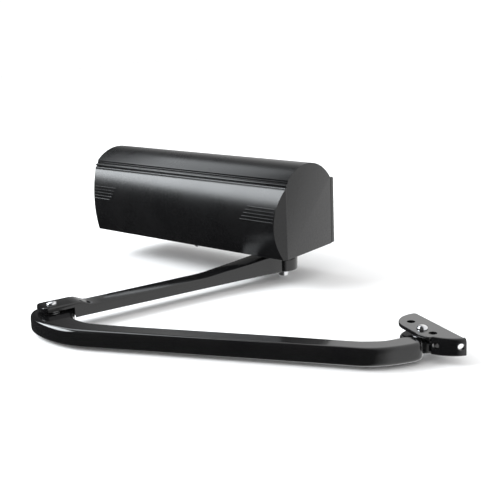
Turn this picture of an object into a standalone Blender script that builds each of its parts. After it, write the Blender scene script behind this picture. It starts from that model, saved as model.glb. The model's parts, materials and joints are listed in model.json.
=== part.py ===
"""Door closer: a covered rack and pinion body on a mounting plate, with a main arm, a forearm and a shoe.

The origin is the middle of the mounting plate's rear face. +X runs along the cover to the spindle's end,
+Y points into the door and +Z is up, along the spindle.
"""

import math

import bmesh
import bpy
from mathutils import Matrix, Vector

MM = 0.001
GAP = 0.3 * MM

# Cover and mounting plate
COVER_LENGTH = 286 * MM
COVER_WALL = 3 * MM
END_DEPTH = 85.8 * MM
PLATE_HEIGHT = 73.2 * MM
PLATE_THICK = 5.6 * MM
ARCH_RADIUS = 51.5 * MM
ARCH_DEPTH = 48 * MM
ARCH_RISE = 43.9 * MM
FACET_ANGLE = math.radians(60)

# Levels, as heights from the cover's bottom edge, and the spindle's place
BOTTOM = -PLATE_HEIGHT / 2
SPINDLE_X = COVER_LENGTH / 2 - 39 * MM
SPINDLE_Y = -43.4 * MM
BORE_RISE = 37 * MM
BORE_RADIUS = 20 * MM
BODY_RADIUS = 25 * MM

# Pinion and rack
TEETH = 9
PITCH_RADIUS = 7.5 * MM
TOOTH_TOP = 1.3 * MM
TOOTH_ROOT = 1.8 * MM
ROOT_DIP = 0.4 * MM
SHAFT_RADIUS = 7.9 * MM
SQUARE = 11 * MM

# Arms: heights from the cover's bottom edge
ARM_LENGTH = 268 * MM
ARM_ANGLE = math.radians(72.5)
ARM_WIDTH = 22 * MM
HUB_RADIUS = 16 * MM
HUB_BASE = -25 * MM
LUG_TOP = -7.7 * MM
LUG_THICK = 4.8 * MM
FOREARM_TOP = -14.5 * MM
FOREARM_HEIGHT = 16 * MM
FOREARM_EDGE = 4.5 * MM
ELBOW_EYE = 20.5 * MM
SHOE_EYE = 18.8 * MM
SHOE_EYE_TOP = -16.5 * MM
SHOE_EYE_THICK = 10 * MM
PIVOT_RADIUS = 4.5 * MM

# Shoe
SHOE_TOP = -10.7 * MM
SHOE_SHEET = 3.2 * MM
SHOE_DROP = 14.4 * MM
SHOE_ANGLE = math.radians(-27.9)
SHOE_LEFT = -37.5 * MM
SHOE_BACK = 17.2 * MM
SHOE_FRONT = -10.2 * MM
SHOE_LEFT_BEND = 23 * MM
SHOE_RIGHT_BEND = 35 * MM
SHOE_RIGHT_CENTRE = 4.2 * MM

# Number of sides on round pieces
FINE = 32
PLAIN = 24
SMALL = 16

for old in list(bpy.data.objects):
    bpy.data.objects.remove(old, do_unlink=True)

PARTS = bpy.data.collections.new("door_closer")
CUTTERS = bpy.data.collections.new("cutters")
bpy.context.scene.collection.children.link(PARTS)
bpy.context.scene.collection.children.link(CUTTERS)


def material(name, colour, roughness, metallic):
    made = bpy.data.materials.new(name)
    made.use_nodes = True
    shader = made.node_tree.nodes["Principled BSDF"]
    shader.inputs["Base Color"].default_value = (*colour, 1)
    shader.inputs["Roughness"].default_value = roughness
    shader.inputs["Metallic"].default_value = metallic
    return made


BLACK_PLASTIC = material("black_plastic", (0.03, 0.03, 0.033), 0.35, 0)
BLACK_ENAMEL = material("black_enamel", (0.01, 0.01, 0.011), 0.12, 0)
BARE_STEEL = material("bare_steel", (0.55, 0.55, 0.56), 0.35, 1)
ZINC = material("zinc", (0.75, 0.75, 0.77), 0.22, 1)
CAST_METAL = material("cast_metal", (0.16, 0.16, 0.17), 0.55, 0.6)
SPRING_STEEL = material("spring_steel", (0.28, 0.28, 0.3), 0.3, 1)
BRASS = material("brass", (0.72, 0.52, 0.22), 0.3, 1)
RUBBER = material("rubber", (0.02, 0.02, 0.02), 0.75, 0)


# ---------------------------------------------------------------- outlines


def arc(centre, radius, start, end, steps):
    """Points on a circle, from the start angle to the end angle in degrees, both ends included."""
    turns = [math.radians(start + (end - start) * step / steps) for step in range(steps + 1)]
    return [(centre[0] + radius * math.cos(a), centre[1] + radius * math.sin(a)) for a in turns]


def arc_through(first, middle, last, steps):
    """Points on the circle through three points, from the first one to the last one."""
    a, b, c = Vector(first), Vector(middle), Vector(last)
    lean = 2 * (a.x * (b.y - c.y) + b.x * (c.y - a.y) + c.x * (a.y - b.y))
    squares = [point.length_squared for point in (a, b, c)]
    x = (squares[0] * (b.y - c.y) + squares[1] * (c.y - a.y) + squares[2] * (a.y - b.y)) / lean
    y = (squares[0] * (c.x - b.x) + squares[1] * (a.x - c.x) + squares[2] * (b.x - a.x)) / lean
    start = math.degrees(math.atan2(a.y - y, a.x - x))
    sweep = math.degrees(math.atan2(c.y - y, c.x - x)) - start
    sweep = (sweep + 180) % 360 - 180
    return arc((x, y), math.hypot(a.x - x, a.y - y), start, start + sweep, steps)


def smooth(points, steps):
    """A closed Catmull-Rom curve through the points, with equal steps between neighbours."""
    count = len(points)
    found = []
    for index in range(count):
        p0, p1, p2, p3 = (Vector(points[(index + shift) % count]) for shift in (-1, 0, 1, 2))
        for step in range(steps):
            t = step / steps
            curve = 2 * p1 + (p2 - p0) * t + (2 * p0 - 5 * p1 + 4 * p2 - p3) * t * t
            curve += (3 * p1 - p0 - 3 * p2 + p3) * t**3
            found.append(tuple(curve / 2))
    return found


def in_mm(points):
    return [(x * MM, y * MM) for x, y in points]


def box_outline(low, high):
    return [(low[0], low[1]), (high[0], low[1]), (high[0], high[1]), (low[0], high[1])]


# ---------------------------------------------------------------- solids


def add(name, mesh, finish, place=(0, 0, 0)):
    made = bpy.data.objects.new(name, mesh)
    made.location = place
    mesh.materials.append(finish)
    PARTS.objects.link(made)
    return made


def flat_mesh(name, outlines, low, high):
    """Flat outlines, the first with the others as holes, extruded in Z from low to high."""
    curve = bpy.data.curves.new(name, "CURVE")
    curve.dimensions = "2D"
    curve.fill_mode = "BOTH"
    curve.extrude = (high - low) / 2
    for outline in outlines:
        spline = curve.splines.new("POLY")
        spline.points.add(len(outline) - 1)
        for point, (x, y) in zip(spline.points, outline):
            point.co = (x, y, 0, 1)
        spline.use_cyclic_u = True
    guide = bpy.data.objects.new(name + "_guide", curve)
    bpy.context.scene.collection.objects.link(guide)
    graph = bpy.context.evaluated_depsgraph_get()
    mesh = bpy.data.meshes.new_from_object(guide.evaluated_get(graph))
    bpy.data.objects.remove(guide)
    mesh.name = name
    mesh.transform(Matrix.Translation((0, 0, (low + high) / 2)))
    tidy(mesh)
    return mesh


def tidy(mesh):
    """Welds the caps and turns every face outwards."""
    work = bmesh.new()
    work.from_mesh(mesh)
    bmesh.ops.remove_doubles(work, verts=work.verts, dist=0.00001)
    bmesh.ops.recalc_face_normals(work, faces=work.faces)
    work.to_mesh(mesh)
    work.free()


def merge_caps(mesh):
    """Makes one face of each flat end, which an even rounded edge needs."""
    work = bmesh.new()
    work.from_mesh(mesh)
    inner = [edge for edge in work.edges if len(edge.link_faces) == 2 and edge.calc_face_angle() < 0.001]
    bmesh.ops.dissolve_edges(work, edges=inner, use_verts=False)
    work.to_mesh(mesh)
    work.free()


def box_mesh(name, low, high):
    work = bmesh.new()
    bmesh.ops.create_cube(work, size=1)
    size = [top - base for base, top in zip(low, high)]
    middle = [(top + base) / 2 for base, top in zip(low, high)]
    bmesh.ops.scale(work, vec=size, verts=work.verts)
    bmesh.ops.translate(work, vec=middle, verts=work.verts)
    mesh = bpy.data.meshes.new(name)
    work.to_mesh(mesh)
    work.free()
    return mesh


# Local +Z of a turned piece, as the rotation that points it along +X, out to the front (-Y), or up
ALONG = {"X": (0, math.pi / 2, 0), "FRONT": (math.pi / 2, 0, 0), "Z": (0, 0, 0)}


def turned(name, profile, place, finish, along="Z", steps=SMALL, ring=False):
    """A turned piece: profile is (radius, height) pairs down its outer side and, in a ring, up its bore."""
    mesh = bpy.data.meshes.new(name)
    edges = [(index, index + 1) for index in range(len(profile) - 1)]
    if ring:
        edges.append((len(profile) - 1, 0))
    mesh.from_pydata([(radius, 0, height) for radius, height in profile], edges, [])
    made = add(name, mesh, finish, place)
    made.rotation_euler = ALONG[along]
    screw = made.modifiers.new("turn", "SCREW")
    screw.steps = steps
    screw.render_steps = steps
    screw.use_merge_vertices = True
    screw.merge_threshold = 0.00001
    screw.use_normal_calculate = False
    return made


def pin(name, radius, base, top, place, finish, along="Z", steps=SMALL):
    return turned(name, [(0, top), (radius, top), (radius, base), (0, base)], place, finish, along, steps)


def ring(name, outer, inner, base, top, place, finish, along="Z", steps=SMALL):
    profile = [(outer, top), (outer, base), (inner, base), (inner, top)]
    return turned(name, profile, place, finish, along, steps, ring=True)


def as_cutter(made):
    """Takes a solid out of the model and keeps it as a tool for Boolean modifiers."""
    PARTS.objects.unlink(made)
    CUTTERS.objects.link(made)
    made.hide_render = True
    made.display_type = "WIRE"
    return made


def combine(target, tool, operation):
    change = target.modifiers.new(tool.name, "BOOLEAN")
    change.operation = operation
    change.object = as_cutter(tool) if tool.name in PARTS.objects else tool
    change.solver = "EXACT"


def cut(target, *tools):
    for tool in tools:
        combine(target, tool, "DIFFERENCE")


def join(target, *tools):
    for tool in tools:
        combine(target, tool, "UNION")


def bevel(target, width, segments, angle=50):
    edge = target.modifiers.new("edge", "BEVEL")
    edge.width = width
    edge.segments = segments
    edge.limit_method = "ANGLE"
    edge.angle_limit = math.radians(angle)
    edge.use_clamp_overlap = False


def level(height):
    """The Z of a height given from the cover's bottom edge."""
    return BOTTOM + height


def on_spindle(height=0.0):
    return (SPINDLE_X, SPINDLE_Y, level(height))


# ---------------------------------------------------------------- cover


def cover_profile(inset, rear):
    """The cover's section as (y, height) points, moved inwards by inset, open side at y = rear."""
    arch = (-ARCH_DEPTH, ARCH_RISE)
    radius = ARCH_RADIUS - inset
    start = math.degrees(math.acos((ARCH_DEPTH - PLATE_THICK - GAP) / radius))
    points = arc(arch, radius, start, 131.5, 18)
    if rear > points[0][0]:
        points.insert(0, (rear, points[0][1]))
    if inset:
        points += in_mm([(-81, 76)])
    else:
        points += in_mm([(-81.2, 81.2), (-82.6, 79.3), (-85.2, 79), (-85.5, 78), (-84, 77.7)])
        points += in_mm([(-84.2, 76.7), (-86, 76.4), (-86.2, 75.5), (-85.2, 75.2), (-85.3, 74.5)])
    front = in_mm([(-86.6, 74), (-98.3, 40), (-91, 2.6)])
    lifts = (-inset / 2, inset, inset)
    points += arc_through(*[(y + inset, height + lift) for (y, height), lift in zip(front, lifts)], 12)
    points += [(-88.2 * MM + inset, inset)]
    points += [(rear, inset)]
    return points


def along_x(mesh):
    """Turns a mesh whose local x, y and z are its depth, height and length into place."""
    turn = Matrix(((0, 0, 1, 0), (1, 0, 0, 0), (0, 1, 0, 0), (0, 0, 0, 1)))
    mesh.transform(turn)
    mesh.transform(Matrix.Translation((0, 0, BOTTOM)))
    return mesh


def facet_tool(name, side, inset):
    """A wedge that takes the bulge's corner off at one end: side is +1 at the spindle's end."""
    reach = 40 * MM
    corner = COVER_LENGTH / 2 - inset / math.sin(FACET_ANGLE)
    end = (corner - reach * math.cos(FACET_ANGLE), -END_DEPTH - reach * math.sin(FACET_ANGLE))
    outline = [(corner, -END_DEPTH), end, (corner + reach, end[1]), (corner + reach, -END_DEPTH)]
    outline = [(side * x, y) for x, y in outline]
    mesh = flat_mesh(name, [outline], level(-10 * MM), level(110 * MM))
    return as_cutter(add(name, mesh, BLACK_PLASTIC))


def build_cover():
    half = COVER_LENGTH / 2
    rear = -PLATE_THICK - GAP
    shell = add("cover", along_x(flat_mesh("cover", [cover_profile(0, rear)], -half, half)), BLACK_PLASTIC)
    inside = half - COVER_WALL
    hollow = along_x(flat_mesh("cover_hollow", [cover_profile(COVER_WALL, 5 * MM)], -inside, inside))
    hollow = add("cover_hollow", hollow, BLACK_PLASTIC)
    for side in (1, -1):
        cut(hollow, facet_tool(f"inner_facet_{side}", side, COVER_WALL))
        cut(shell, facet_tool(f"facet_{side}", side, 0))
    cut(shell, hollow)
    slot_low = (SPINDLE_X - 15 * MM, SPINDLE_Y, level(-5 * MM))
    slot_high = (SPINDLE_X + 15 * MM, 10 * MM, level(8 * MM))
    slot = add("spindle_slot", box_mesh("spindle_slot", slot_low, slot_high), BLACK_PLASTIC)
    mouth = pin("spindle_mouth", 15.2 * MM, -5 * MM, 8 * MM, on_spindle(), BLACK_PLASTIC, steps=PLAIN)
    hole = pin("cover_screw_hole", 2.1 * MM, -5 * MM, 8 * MM, COVER_SCREW, BLACK_PLASTIC)
    cut(shell, slot, mouth, hole)


COVER_SCREW = (15 * MM, -83.5 * MM, BOTTOM)


def build_cover_fixing():
    x = COVER_SCREW[0]
    boss_front = SPINDLE_Y - VALVE_BOSS_DEPTH
    leg = box_mesh(
        "cover_bracket",
        (x - 8 * MM, boss_front - GAP - 2.5 * MM, level(6.2 * MM)),
        (x + 8 * MM, boss_front - GAP, level(46 * MM)),
    )
    bracket = add("cover_bracket", leg, ZINC)
    foot = box_mesh(
        "bracket_foot",
        (x - 8 * MM, -87.2 * MM, level(6.2 * MM)),
        (x + 8 * MM, boss_front - GAP - 1 * MM, level(8.8 * MM)),
    )
    join(bracket, add("bracket_foot", foot, ZINC))
    cut(bracket, pin("foot_hole", 2 * MM, 0, 12 * MM, COVER_SCREW, ZINC))
    head = (x, boss_front - GAP, level(37 * MM))
    cut(bracket, pin("leg_hole", 2.6 * MM, -2 * MM, 5 * MM, head, ZINC, "FRONT"))
    screw = [(0, 5.3), (2.2, 5.1), (4, 4.2), (4, 2.8), (2.2, 2.8), (2.2, -9), (0, -9)]
    turned("bracket_screw", in_mm(screw), head, ZINC, "FRONT")
    screw = [(0, 12), (1.7, 12), (1.7, -0.3), (3.3, -0.3), (3.3, -1.6), (2.2, -2.8), (0, -3.1)]
    turned("cover_screw", in_mm(screw), COVER_SCREW, ZINC)


# ---------------------------------------------------------------- plate, body and bolts

FOOT_XS = (-103 * MM, 57 * MM)
FOOT_HALF = 12 * MM
BOLT_RISES = (9.5 * MM, 60.5 * MM)
PLATE_HOLE_XS = (-128 * MM, -68 * MM, 22 * MM, 92 * MM)
PLATE_HOLE_RISES = (16 * MM, 57 * MM)
VALVE_BOSS_DEPTH = 32.6 * MM
VALVE_XS = (-31 * MM, -11 * MM, 41 * MM)
BODY_LEFT = -129 * MM
BODY_RIGHT = 129 * MM


def build_plate():
    half = COVER_LENGTH / 2
    outline = box_outline((-half, BOTTOM), (half, BOTTOM + PLATE_HEIGHT))
    holes = []
    for x in FOOT_XS:
        holes += [arc((x, level(rise)), 3.15 * MM, 0, 348.75, 15) for rise in BOLT_RISES]
    for x in PLATE_HOLE_XS:
        holes += [arc((x, level(rise)), 3.4 * MM, 0, 348.75, 15) for rise in PLATE_HOLE_RISES]
    mesh = flat_mesh("back_plate", [outline] + holes, 0, PLATE_THICK)
    mesh.transform(Matrix.Rotation(math.pi / 2, 4, "X"))
    add("back_plate", mesh, BLACK_ENAMEL)


def build_body():
    axis = (0, SPINDLE_Y, level(BORE_RISE))
    body = pin("closer_body", BODY_RADIUS, BODY_LEFT, BODY_RIGHT, axis, CAST_METAL, "X", FINE)
    rear = -PLATE_THICK - GAP
    for number, x in enumerate(FOOT_XS):
        low, high = (x - FOOT_HALF, rear - 8 * MM, level(3.4 * MM)), (x + FOOT_HALF, rear, level(66 * MM))
        foot = add(f"foot_{number}", box_mesh("foot", low, high), CAST_METAL)
        low, high = (x - FOOT_HALF, -34 * MM, level(18 * MM)), (x + FOOT_HALF, rear - 4 * MM, level(54 * MM))
        neck = add(f"neck_{number}", box_mesh("neck", low, high), CAST_METAL)
        join(body, foot, neck)
    boss = pin("pinion_boss", 17 * MM, 6 * MM, 81 * MM, on_spindle(), CAST_METAL, steps=PLAIN)
    low = (-42 * MM, SPINDLE_Y - VALVE_BOSS_DEPTH, level(28 * MM))
    high = (52 * MM, SPINDLE_Y - 15 * MM, level(46 * MM))
    valves = add("valve_boss", box_mesh("valve_boss", low, high), CAST_METAL)
    join(body, boss, valves)
    cut(body, pin("main_bore", BORE_RADIUS, -200 * MM, 200 * MM, axis, CAST_METAL, "X", FINE))
    cross_bore = pin("cross_bore", 11.5 * MM, 0, 100 * MM, on_spindle(), CAST_METAL, steps=PLAIN)
    # Turned a little, so that its corners miss the main bore's corners
    cross_bore.rotation_euler.z = math.radians(5)
    cut(body, cross_bore)
    front = SPINDLE_Y - VALVE_BOSS_DEPTH
    for number, x in enumerate(VALVE_XS):
        place = (x, front, level(BORE_RISE))
        cut(body, pin(f"valve_hole_{number}", 3.2 * MM, -10.5 * MM, 5 * MM, place, CAST_METAL, "FRONT"))
    place = (COVER_SCREW[0], front, level(BORE_RISE))
    cut(body, pin("bracket_hole", 2.5 * MM, -10 * MM, 5 * MM, place, CAST_METAL, "FRONT"))
    number = 0
    for x in FOOT_XS:
        for rise in BOLT_RISES:
            number += 1
            place = (x, rear - 8 * MM, level(rise))
            cut(body, pin(f"bolt_hole_{number}", 3.3 * MM, -20 * MM, 6 * MM, place, CAST_METAL, "FRONT"))
            bolt = [(0, 4.6), (4.2, 4.6), (5, 3.8), (5, 0.3), (2.85, 0.3), (2.85, -12.6), (0, -12.6)]
            turned(f"body_bolt_{number}", in_mm(bolt), place, ZINC, "FRONT")


# ---------------------------------------------------------------- cylinder contents

SPRING_LEFT = -97.2 * MM
SPRING_RIGHT = 64 * MM
SPRING_TURNS = 12
SPRING_RADIUS = 15.5 * MM
SPRING_WIRE = 2.2 * MM
HEAD_LEFT = 64.5 * MM
HEAD_RIGHT = 92 * MM
RACK_TIP = 122 * MM
RACK_BACK = 16.8 * MM


def bore_place(x=0.0):
    return (x, SPINDLE_Y, level(BORE_RISE))


def build_plugs():
    for side, name, end in ((-1, "left_plug", BODY_LEFT), (1, "right_plug", BODY_RIGHT)):
        long_end = 12 if side < 0 else 6.5
        outer = [(22, 4), (22, 0.3), (19.7, 0.3), (19.7, -2.2), (18, -2.2), (18, -5.2), (19.7, -5.2)]
        outer += [(19.7, -long_end)]
        if side < 0:
            profile = in_mm(outer + [(4.5, -long_end), (4.5, 4)])
            plug = turned(name, profile, bore_place(end), BARE_STEEL, "X", PLAIN, True)
            plug.rotation_euler = (0, -math.pi / 2, 0)
        else:
            profile = in_mm([(0, 4)] + outer + [(0, -long_end)])
            turned(name, profile, bore_place(end), BARE_STEEL, "X", PLAIN)
        seal = end - side * 3.7 * MM
        place = bore_place(seal)
        ring(f"{name}_seal", 19.85 * MM, 18.3 * MM, -1.2 * MM, 1.2 * MM, place, RUBBER, "X", PLAIN)


def build_spring():
    place = bore_place(BODY_LEFT)
    screw = pin("power_screw", 4.1 * MM, -6.5 * MM, 42 * MM, place, ZINC, "X")
    head = pin("power_head", 6.5 * MM, -9 * MM, -4.5 * MM, place, ZINC, "X", 6)
    join(screw, head)
    ring("spring_seat", 19.6 * MM, 4.4 * MM, 26 * MM, 31.5 * MM, place, BARE_STEEL, "X", PLAIN)

    curve = bpy.data.curves.new("closing_spring", "CURVE")
    curve.dimensions = "3D"
    curve.bevel_depth = SPRING_WIRE
    curve.bevel_resolution = 1
    curve.use_fill_caps = True
    spline = curve.splines.new("POLY")
    steps = 12
    count = SPRING_TURNS * steps + 1
    spline.points.add(count - 1)
    low, high = SPRING_LEFT + SPRING_WIRE, SPRING_RIGHT - SPRING_WIRE
    for index, point in enumerate(spline.points):
        angle = 2 * math.pi * index / steps
        share = index / (count - 1)
        point.co = (
            low + (high - low) * share,
            SPRING_RADIUS * math.cos(angle),
            SPRING_RADIUS * math.sin(angle),
            1,
        )
    spring = bpy.data.objects.new("closing_spring", curve)
    spring.location = bore_place()
    curve.materials.append(SPRING_STEEL)
    PARTS.objects.link(spring)


def build_piston():
    """The head fills the bore. Its tongue, with the rack, runs beside the pinion on the door's side."""
    origin = bore_place(SPINDLE_X)
    left, right = HEAD_LEFT - SPINDLE_X, HEAD_RIGHT - SPINDLE_X
    groove = left + 9 * MM
    profile = [
        (0, right),
        (19.7 * MM, right),
        (19.7 * MM, groove + 1.6 * MM),
        (18 * MM, groove + 1.6 * MM),
        (18 * MM, groove - 1.6 * MM),
        (19.7 * MM, groove - 1.6 * MM),
        (19.7 * MM, left),
        (0, left),
    ]
    piston = turned("rack_piston", profile, origin, BARE_STEEL, "X", FINE)
    seal = bore_place(SPINDLE_X + groove)
    ring("piston_ring", 19.85 * MM, 18.3 * MM, -1.2 * MM, 1.2 * MM, seal, RUBBER, "X", PLAIN)

    # The rack's section along X, as (x, y) from the pinion's axis
    pitch = 2 * math.pi * PITCH_RADIUS / TEETH
    root = PITCH_RADIUS + TOOTH_ROOT
    tip = PITCH_RADIUS - TOOTH_TOP
    far = RACK_TIP - SPINDLE_X
    outline = [(right - 1 * MM, RACK_BACK), (right - 1 * MM, root)]
    first = math.ceil((right + pitch / 2) / pitch)
    last = math.floor((far - pitch / 2) / pitch)
    outline += [((first - 0.5) * pitch, root + ROOT_DIP)]
    for tooth in range(first, last + 1):
        middle = tooth * pitch
        outline += [(middle - 1.75 * MM, root), (middle - 0.55 * MM, tip)]
        outline += [(middle + 0.55 * MM, tip), (middle + 1.75 * MM, root)]
        outline += [(middle + pitch / 2, root + ROOT_DIP)]
    outline += [(far, root), (far, RACK_BACK)]
    join(piston, add("rack", flat_mesh("rack", [outline], -9 * MM, 9 * MM), BARE_STEEL, origin))


def pinion_outline():
    """Nine teeth, with a gap facing the rack's tooth that stands at the pinion's axis."""
    points = []
    for tooth in range(TEETH):
        middle = math.pi / 2 + (tooth + 0.5) * 2 * math.pi / TEETH
        for radius, half in (
            (PITCH_RADIUS - TOOTH_ROOT, 1.35 * MM),
            (PITCH_RADIUS, 1.05 * MM),
            (PITCH_RADIUS + TOOTH_TOP, 0.4 * MM),
        ):
            points.append((radius, middle - half / radius))
        for radius, half in (
            (PITCH_RADIUS + TOOTH_TOP, 0.4 * MM),
            (PITCH_RADIUS, 1.05 * MM),
            (PITCH_RADIUS - TOOTH_ROOT, 1.35 * MM),
        ):
            points.append((radius, middle + half / radius))
    return [(radius * math.cos(turn), radius * math.sin(turn)) for radius, turn in points]


def build_pinion():
    """The shaft turns in two bearings, and both ends are square: the lower one drives the arm."""
    place = on_spindle()
    shaft = pin("pinion_shaft", SHAFT_RADIUS, 5.5 * MM, 25 * MM, place, BARE_STEEL, steps=PLAIN)
    upper = pin("upper_journal", SHAFT_RADIUS, 49 * MM, 82 * MM, place, BARE_STEEL, steps=PLAIN)
    teeth = flat_mesh("teeth", [pinion_outline()], 24.5 * MM, 49.5 * MM)
    gear = add("pinion_teeth", teeth, BARE_STEEL, place)
    half = SQUARE / 2
    foot = box_mesh("lower_square", (-half, -half, -18 * MM), (half, half, 6 * MM))
    foot = add("lower_square", foot, BARE_STEEL, place)
    head = box_mesh("upper_square", (-half, -half, 81 * MM), (half, half, 87 * MM))
    head = add("upper_square", head, BARE_STEEL, place)
    tapped = pin("arm_screw_hole", 2.8 * MM, -20 * MM, -2 * MM, place, BARE_STEEL)
    join(shaft, gear, upper, foot, head)
    cut(shaft, tapped)


def build_pinion_supports():
    place = on_spindle()
    ring("lower_bearing", 11.2 * MM, 8.2 * MM, 14.5 * MM, 23.5 * MM, place, BARE_STEEL, steps=PLAIN)
    ring("upper_bearing", 11.2 * MM, 8.2 * MM, 61 * MM, 72 * MM, place, BARE_STEEL, steps=PLAIN)
    ring("lower_seal", 11.2 * MM, 8.2 * MM, 11.5 * MM, 14.2 * MM, place, RUBBER, steps=PLAIN)
    ring("upper_seal", 11.2 * MM, 8.2 * MM, 72.3 * MM, 75 * MM, place, RUBBER, steps=PLAIN)
    ring("lower_cap", 11.2 * MM, 8.4 * MM, 6.5 * MM, 11.2 * MM, place, BRASS, steps=PLAIN)
    ring("upper_cap", 11.2 * MM, 8.4 * MM, 75.3 * MM, 80.5 * MM, place, BRASS, steps=PLAIN)


def build_valves():
    front = SPINDLE_Y - VALVE_BOSS_DEPTH
    for name, x in zip(("sweep", "latch", "backcheck"), VALVE_XS):
        place = (x, front, level(BORE_RISE))
        profile = [(0, 1.2), (2.2, 1.2), (2.8, 0.6), (2.8, -2), (2, -2), (2, -4), (2.8, -4), (2.8, -7)]
        valve = turned(f"{name}_valve", in_mm(profile + [(0.8, -10), (0, -10)]), place, BRASS, "FRONT")
        socket = pin(f"{name}_socket", 1.4 * MM, -1.5 * MM, 3 * MM, place, BRASS, "FRONT", 6)
        cut(valve, socket)
        ring(f"{name}_seal", 3 * MM, 2.3 * MM, -3.7 * MM, -2.3 * MM, place, RUBBER, "FRONT")


# ---------------------------------------------------------------- main arm

ARM_WAY = Vector((-math.cos(ARM_ANGLE), -math.sin(ARM_ANGLE)))
ELBOW = (SPINDLE_X + ARM_WAY.x * ARM_LENGTH, SPINDLE_Y + ARM_WAY.y * ARM_LENGTH)


def along_arm(mesh):
    """Turns a mesh that runs along local +X into the main arm's direction."""
    mesh.transform(Matrix.Rotation(math.pi + ARM_ANGLE, 4, "Z"))
    return mesh


def side_tool(name, outline):
    """A prism across the arm, from an outline of (distance from the spindle, height) points."""
    mesh = flat_mesh(name, [outline], -40 * MM, 40 * MM)
    mesh.transform(Matrix.Rotation(math.pi / 2, 4, "X"))
    return add(name, along_arm(mesh), BLACK_ENAMEL, on_spindle())


def build_main_arm():
    half = ARM_WIDTH / 2
    tip = ARM_LENGTH + 12.3 * MM
    outline = arc((tip - 6 * MM, half - 5.5 * MM), 6 * MM, 90, 0, 4)
    outline += arc((tip - 6 * MM, -half + 5.5 * MM), 6 * MM, 0, -90, 4)
    outline += [(ARM_LENGTH - 30 * MM, -half), (60 * MM, -half), (30 * MM, -half - 1 * MM)]
    outline += arc((0, 0), HUB_RADIUS - 3 * MM, 300, 60, 16)[1:-1]
    outline += [(30 * MM, half + 1 * MM), (60 * MM, half), (ARM_LENGTH - 30 * MM, half)]
    bar = flat_mesh("main_arm", [outline], HUB_BASE + 0.4 * MM, LUG_TOP + 4 * MM)
    arm = add("main_arm", along_arm(bar), BLACK_ENAMEL, on_spindle())
    over = [(22, 10), (22, -4.6), (30, -5.3), (100, -12.9), (231, -12.9), (244.5, -7.7)]
    over += [(300, -7.7), (300, 10)]
    under = [(14, -40), (14, -24.8), (252, -23.1), (300, -23.1), (300, -40)]
    cut(arm, side_tool("arm_over", in_mm(over)), side_tool("arm_under", in_mm(under)))
    hub = [(0, -0.6), (12.5, -0.6), (12.8, -7), (16, -13), (16, -24), (15, -25), (0, -25)]
    join(arm, turned("arm_hub", in_mm(hub), on_spindle(), BLACK_ENAMEL, steps=FINE))
    half = SQUARE / 2 + GAP
    socket = box_mesh("arm_socket", (-half, -half, -19 * MM), (half, half, 10 * MM))
    cut(arm, add("arm_socket", socket, BLACK_ENAMEL, on_spindle()))
    cut(arm, pin("arm_screw_way", 3.1 * MM, -40 * MM, 0, on_spindle(), BLACK_ENAMEL))
    elbow = (*ELBOW, BOTTOM)
    under_lug = LUG_TOP - LUG_THICK
    relief = pin("eye_relief", ELBOW_EYE + 1.2 * MM, -50 * MM, under_lug, elbow, BLACK_ENAMEL, steps=FINE)
    cut(arm, relief, pin("rivet_hole", PIVOT_RADIUS + 0.3 * MM, -60 * MM, 10 * MM, elbow, BLACK_ENAMEL))


def build_arm_fixing():
    place = on_spindle()
    ring("arm_washer", 7.5 * MM, 3.1 * MM, -26.8 * MM, -25.3 * MM, place, ZINC, steps=PLAIN)
    profile = [(0, -5), (2.5, -5), (2.5, -27.1), (5, -27.1), (5, -31.4), (4.2, -32.2), (0, -32.2)]
    screw = turned("arm_screw", in_mm(profile), place, ZINC)
    cut(screw, pin("arm_screw_socket", 2.3 * MM, -40 * MM, -29.5 * MM, place, ZINC, steps=6))


def build_elbow():
    place = (*ELBOW, BOTTOM)
    head = [(0, -5.4), (2.6, -5.9), (4.4, -6.7), (5, -7.4), (4.5, -7.4), (4.5, -33.4), (0, -33.4)]
    turned("elbow_rivet", in_mm(head), place, ZINC, steps=PLAIN)
    ring("elbow_washer", 9 * MM, 4.8 * MM, -14.2 * MM, -12.8 * MM, place, ZINC, steps=PLAIN)
    ring("elbow_end_washer", 8.5 * MM, 4.8 * MM, -32.6 * MM, -30.8 * MM, place, ZINC, steps=PLAIN)


# ---------------------------------------------------------------- forearm and shoe

SHOE_PIVOT = (343.5 * MM, -166.4 * MM)
FLANGE_START = 299.5
FLANGE_HOLES = (306, 340)
FLANGE_HOLE_RISE = -17 * MM


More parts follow.
